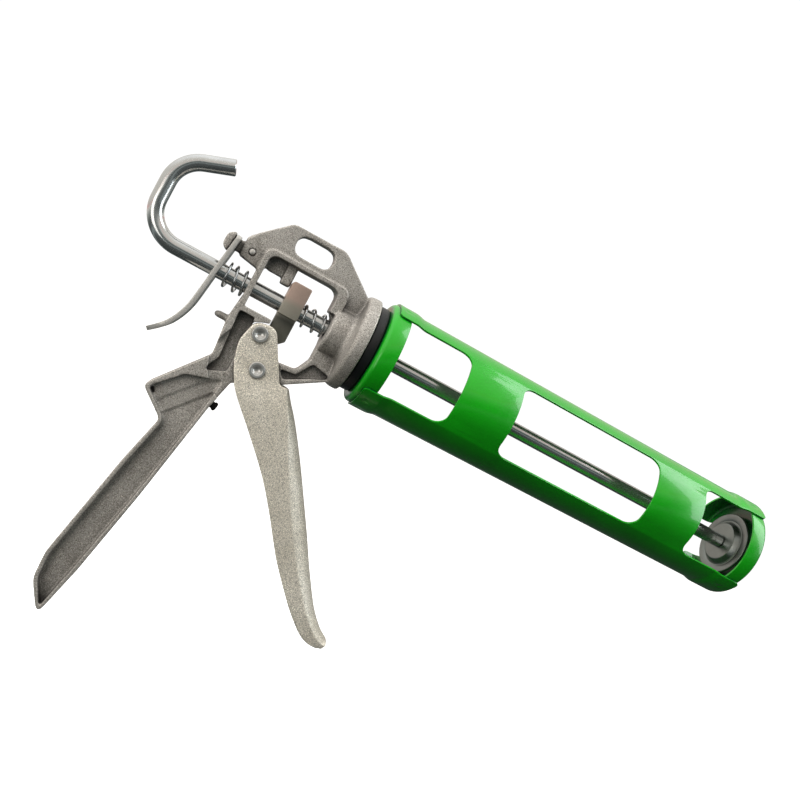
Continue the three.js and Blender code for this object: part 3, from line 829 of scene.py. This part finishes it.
def lever_loft(name, wall, last, steps=70):
    """The lever's outside at wall 0, or the hollow inside it, open at the rear.

    It runs from the top to a share of the lever's length.
    """
    least_depth, front_thinning, past_rear = 0.8, 0.4, 2.5
    bm = bmesh.new()
    rings = []
    for step in range(steps + 1):
        rear_x, rear_z, front_x, front_z, half, depth = spline(LEVER_STATIONS, last * step / steps)
        rear, front = Vector((rear_x, rear_z)), Vector((front_x, front_z))
        ahead = (front - rear).normalized()
        length = (front - rear).length - wall
        depth, half = max(depth - wall * front_thinning, least_depth), half - wall
        start = -past_rear if wall else 0.0
        profile = [(start, half), ((length - depth) / 2, half), (length - depth, half)]
        for share, width in FRONT_SHAPE:
            profile.append((length - depth + depth * share, half * width))
        mirrored = [(u, -y) for u, y in reversed(profile[:-1])]
        ring = []
        for u, y in profile + mirrored:
            spot = rear + ahead * u
            ring.append(bm.verts.new((spot.x, y, spot.y)))
        rings.append(ring)
    bridge_rings(bm, rings)
    bm.faces.new(rings[0])
    bm.faces.new(list(reversed(rings[-1])))
    return make(name, bm)


def trigger_lever():
    """A pressed channel: a hollow lever with a rounded front, and two flat ears for the rivets."""
    hollow_end, through = 0.86, 20
    lever = lever_loft("lever", 0.0, 1.0)
    carve(lever, lever_loft("hollow", WALL, hollow_end))
    mouth = [(-70, -20), (-28.6, -20), (-28.6, -36.4), (-70, -36.4)]
    carve(lever, prism("opening", mouth, -EAR_INNER, EAR_INNER))
    outline = rounded([
        (-49.6, -12.2, 4), (-56.4, -13.4, 6), (-59.3, -25, 12), (-56.8, -35, 12), (-53.8, -41.0, 3),
        (-50.0, -46.0), (-27.4, -39.0), (-27.4, -35.6, 0.8), (-32, -35.6, 2.5), (-39.6, -22.6, 8),
        (-45.4, -12.6, 5),
    ])
    ears = [prism("ear", outline, side * EAR_INNER, side * EAR_OUTER) for side in (-1, 1)]
    trigger = merge("trigger_channel", lever, *ears)
    cast(trigger, voxel=0.45, passes=2)
    drill = [(-through, 0), (-through, RIVET_HOLE), (through, RIVET_HOLE), (through, 0)]
    for place in (PIVOT, PUSHER):
        carve(trigger, lathe("hole", drill, 48, (place.x, 0, place.z), ACROSS))
    shade(trigger, 60)
    settle(trigger, LEVER, "trigger", "trigger_alloy", "trigger")


def rivet(name, node):
    """A semi-tubular rivet: both heads are low domes with a rolled rim around a dished middle."""
    low, high = reach(node)
    middle = (low + high) / 2
    top, head, seat, shank = high.y, (high.x - low.x) / 2, EAR_OUTER + 0.05, 2.2
    bowl, dish, steps = 2.6, 1.5, 7
    round_bottom = (bowl * bowl + dish * dish) / (2 * dish)
    half = [(seat, shank), (seat, head - 0.3), *arc(seat + 0.4, head - 0.4, 0.4, 180, 90, 4),
            *arc(top - 0.45, head - 0.65, 0.45, 50, 0, 3), (top, bowl + 0.2)]
    for step in range(steps):
        radius = bowl * (1 - step / steps)
        half.append((top - dish + round_bottom - math.sqrt(round_bottom ** 2 - radius ** 2), radius))
    profile = [(dish - top, 0), *[(-x, r) for x, r in reversed(half)], *half, (top - dish, 0)]
    piece = lathe(name, profile, 64, (middle.x, 0, middle.z), ACROSS)
    shade(piece, 60)
    settle(piece, RIVET, "trigger", "zinc_steel", node)


# ---------------------------------------------------------------- drive block and release plate

def drive_block():
    """A wide head round the rod, on a narrow leg whose foot is cut off at the front."""
    low, high = reach("drive_block")
    back, front, top, foot, wide = low.x, high.x, high.z, low.z, high.y
    shoulder, narrow, past = -4.6, 4.2, 3
    head = rounded([(back, top, 1.6), (front, top, 0.8), (front, shoulder), (back, shoulder)], 15)
    leg = rounded([
        (back, shoulder + 1), (back, foot, 0.8), (front - 3.8, foot, 1.2), (front, foot + 3.6, 1.2),
        (front, shoulder + 1),
    ], 15)
    drill = [(back - past, 0), (back - past, ROD_BORE), (front + past, ROD_BORE), (front + past, 0)]
    block = prism("drive_block_body", head, -wide, wide)
    carve(block, prism("leg", leg, -narrow, narrow), operation="UNION")
    carve(block, lathe("bore", drill, 64))
    soften(block, 0.45, segments=3, angle=50)
    shade(block, 40)
    settle(block, SINTER, "drive_block", "sintered_steel", "drive_block")


def release_plate():
    """A strip bent in one plane: straight above, then swept back into a thumb tab."""
    thickness, half = 2.2, reach("release_plate")[1].y
    bends = [(-82, 18.8), (-83.2, 10), (-84.7, 0), (-86, -10), (-87.4, -19.6), (-89.2, -25.6), (-92.2, -31.6),
             (-96.1, -36.1), (-100.3, -39.9)]
    steps, strips = 60, 44
    path = [spline(bends, step / steps) for step in range(steps + 1)]
    distances = [0.0]
    for a, b in zip(path, path[1:]):
        distances.append(distances[-1] + math.dist(a, b))
    total = distances[-1]

    def along(distance):
        distance = min(max(distance, 0), total)
        for index in range(len(path) - 1):
            if distance <= distances[index + 1] + 1e-9:
                share = (distance - distances[index]) / (distances[index + 1] - distances[index])
                return [a + (b - a) * share for a, b in zip(path[index], path[index + 1])]
        return path[-1]

    def place(distance, y):
        x, z = along(distance)
        return Vector((x, y, z))

    tab, corner = 11.0, 2.2
    slot_half, slot_end = 2.7, 7.3
    outline = rounded([
        (0, -half, corner), (total, -half, tab), (total, half, tab), (0, half, corner),
        (0, slot_half, 0.6), (slot_end, slot_half, 1.2), (slot_end, -slot_half, 1.2), (0, -slot_half, 0.6),
    ], 8)
    hole_at, hole = 19.0, 4.7
    ring = [Vector((hole_at + hole * math.cos(a), hole * math.sin(a)))
            for a in (2 * math.pi * step / 48 for step in range(48))]
    cuts = [total * step / strips for step in range(1, strips)]
    plate = sheet_metal("release_lever_plate", [outline, ring], (cuts, (-6.0, 0.0, 6.0)), place,
                        lambda point: Vector((-1, 0, 0)), thickness=thickness, edge=0.3)
    settle(plate, PLATE, "release_plate", "zinc_steel", "release_plate")


# ---------------------------------------------------------------- camera, floor and light

YAW, ROLL = math.radians(13.59), math.radians(27.894)
CAMERA_PLACE = (-64.5, -377.4, -14.5)
LENS = 33.86


def camera():
    """The photograph's camera, level but rolled. Returns its up direction."""
    forward = Vector((math.sin(YAW), math.cos(YAW), 0))
    right = Vector((math.cos(YAW) * math.cos(ROLL), -math.sin(YAW) * math.cos(ROLL), math.sin(ROLL)))
    up = right.cross(forward)
    data = bpy.data.cameras.new("camera")
    data.lens = LENS
    data.clip_start = 0.01
    view = bpy.data.objects.new("camera", data)
    matrix = Matrix((right, up, -forward)).transposed().to_4x4()
    matrix.translation = ROD_AXIS + Vector(CAMERA_PLACE) * MM
    view.matrix_world = matrix
    bpy.context.scene.collection.objects.link(view)
    bpy.context.scene.camera = view
    return up


def floor():
    """A plain pale floor a little below the gun, kept out of its reflections and bounced light."""
    bm = bmesh.new()
    bmesh.ops.create_grid(bm, x_segments=8, y_segments=8, size=12.0)
    ground = to_object("floor", bm)
    gap = 0.03
    ground.location = (0, 0, CAD_BOX[0][2] - gap)
    surface = Surface("floor", Roughness=0.9)
    tone = surface.noise(3, 2, 0.5)
    surface.feed("Base Color", surface.ramp(tone, (0.2, 0.9), (0.8, 0.93)))
    surface.set(Emission_Color=(1, 1, 1, 1), Emission_Strength=0.55)
    ground.data.materials.append(surface.material)
    ground.visible_diffuse = False
    ground.visible_glossy = False


def studio(up):
    """A pale sky over a dark lower half, tilted with the view so that the gun is lit from the picture's top.

    The camera itself sees plain white. A pale band low down and a thin red one above the middle show
    in the metal.
    """
    world = bpy.data.worlds.new("studio")
    bpy.context.scene.world = world
    world.use_nodes = True
    tree = world.node_tree
    tree.nodes.clear()
    coordinates = tree.nodes.new("ShaderNodeTexCoord")
    dot = tree.nodes.new("ShaderNodeVectorMath")
    dot.operation = "DOT_PRODUCT"
    dot.inputs[1].default_value = up
    tree.links.new(coordinates.outputs["Generated"], dot.inputs[0])
    spread = tree.nodes.new("ShaderNodeMapRange")
    spread.inputs["From Min"].default_value = -1
    tree.links.new(dot.outputs["Value"], spread.inputs["Value"])
    ramp = tree.nodes.new("ShaderNodeValToRGB")
    tree.links.new(spread.outputs["Result"], ramp.inputs["Fac"])
    fill_ramp(ramp.color_ramp, [
        (0.0, (0.03, 0.035, 0.035)), (0.30, (0.05, 0.06, 0.06)), (0.36, (0.26, 0.30, 0.30)),
        (0.42, (0.035, 0.045, 0.045)), (0.49, (0.07, 0.085, 0.08)), (0.56, (0.34, 0.36, 0.34)),
        (0.62, (0.78, 0.77, 0.72)), (0.645, (0.66, 0.30, 0.29)), (0.66, (0.62, 0.59, 0.54)),
        (0.84, (0.70, 0.67, 0.62)), (1.0, (1.0, 1.0, 1.0)),
    ])
    lit = tree.nodes.new("ShaderNodeBackground")
    lit.inputs["Strength"].default_value = 1.15
    tree.links.new(ramp.outputs["Color"], lit.inputs["Color"])
    seen = tree.nodes.new("ShaderNodeBackground")
    seen.inputs["Color"].default_value = (1, 1, 1, 1)
    seen.inputs["Strength"].default_value = 1.05
    path = tree.nodes.new("ShaderNodeLightPath")
    choose = tree.nodes.new("ShaderNodeMixShader")
    tree.links.new(path.outputs["Is Camera Ray"], choose.inputs[0])
    tree.links.new(lit.outputs[0], choose.inputs[1])
    tree.links.new(seen.outputs[0], choose.inputs[2])
    output = tree.nodes.new("ShaderNodeOutputWorld")
    tree.links.new(choose.outputs[0], output.inputs[0])


def lamp(name, place, target, size, watts, colour=(1, 1, 1)):
    data = bpy.data.lights.new(name, "AREA")
    data.shape = "RECTANGLE"
    data.size, data.size_y = size
    data.energy = watts
    data.color = colour
    light = bpy.data.objects.new(name, data)
    light.location = place
    light.rotation_euler = (Vector(target) - Vector(place)).to_track_quat("-Z", "Y").to_euler()
    bpy.context.scene.collection.objects.link(light)
    return light


def lights(up):
    """Three area lamps placed about the gun in the camera's directions, in metres."""
    towards = Vector((-math.sin(YAW), -math.cos(YAW), 0))
    right = up.cross(towards)
    middle = Vector((0.06, 0, 0.08))
    cool, warm = (0.90, 0.96, 1.0), (1.0, 0.97, 0.92)
    above = middle + 0.75 * up + 0.55 * towards - 0.15 * right
    beside = middle + 0.8 * right + 0.15 * up + 0.05 * towards
    before = middle + 0.1 * up + 1.0 * towards - 0.5 * right
    softbox = lamp("top_softbox", above, middle, (0.9, 0.6), 9.5)
    softbox.visible_glossy = False
    lamp("right_strip", beside, middle, (0.4, 0.9), 4.5, cool)
    lamp("camera_side_fill", before, middle, (0.6, 0.6), 2.2, warm)


# ---------------------------------------------------------------- the scene

up = camera()
floor()
studio(up)
lights(up)
scene = bpy.context.scene
scene.view_settings.view_transform = "Standard"
scene.view_settings.look = "None"

cradle_shell()
rear_cap()
front_cap()
push_rod()
plunger_disc()
small_cad_parts()
swivel_ring()
coil_spring("drive_coil_spring", "drive_spring", turns=3, lean=0.0)
coil_spring("release_coil_spring", "release_spring", turns=3, lean=0.12)
handle_casting()
stop_pin()
bumper()
trigger_lever()
rivet("pivot_rivet_body", "pivot_rivet")
rivet("pusher_rivet_body", "pusher_rivet")
drive_block()
release_plate()
